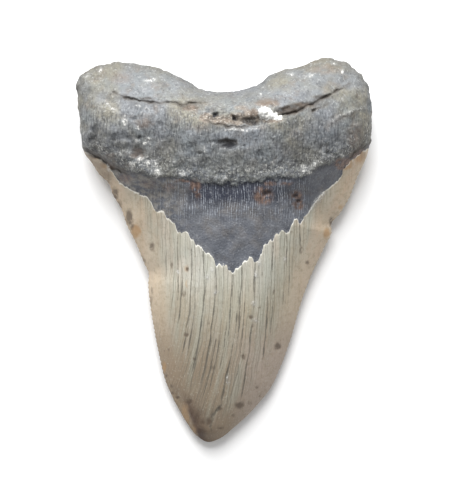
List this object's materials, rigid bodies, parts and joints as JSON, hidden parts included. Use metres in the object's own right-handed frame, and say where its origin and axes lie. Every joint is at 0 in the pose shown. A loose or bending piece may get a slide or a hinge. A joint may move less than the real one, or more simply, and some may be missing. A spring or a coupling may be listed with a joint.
{
  "type": "megalodon tooth",
  "caption": "Fossil megalodon tooth with a swollen two-lobed root, a dark bourlette and a broad triangular enamel crown, lying flat on its labial face.",
  "frame": {"origin": "the middle of the tooth's bounding box, at the flat labial face that it lies on", "axes": "+Y runs from the tip of the crown to the root, +Z out of the swollen lingual face, and X across the root's two lobes"},
  "size_m": [0.0975, 0.127, 0.027],
  "materials": {
    "fossil_tooth": "mineralised root and enamel, dull grey root and faintly polished grey-tan crown"
  },
  "bodies": {
    "root": {"tooth": "fossil_tooth"}
  },
  "joints": []
}
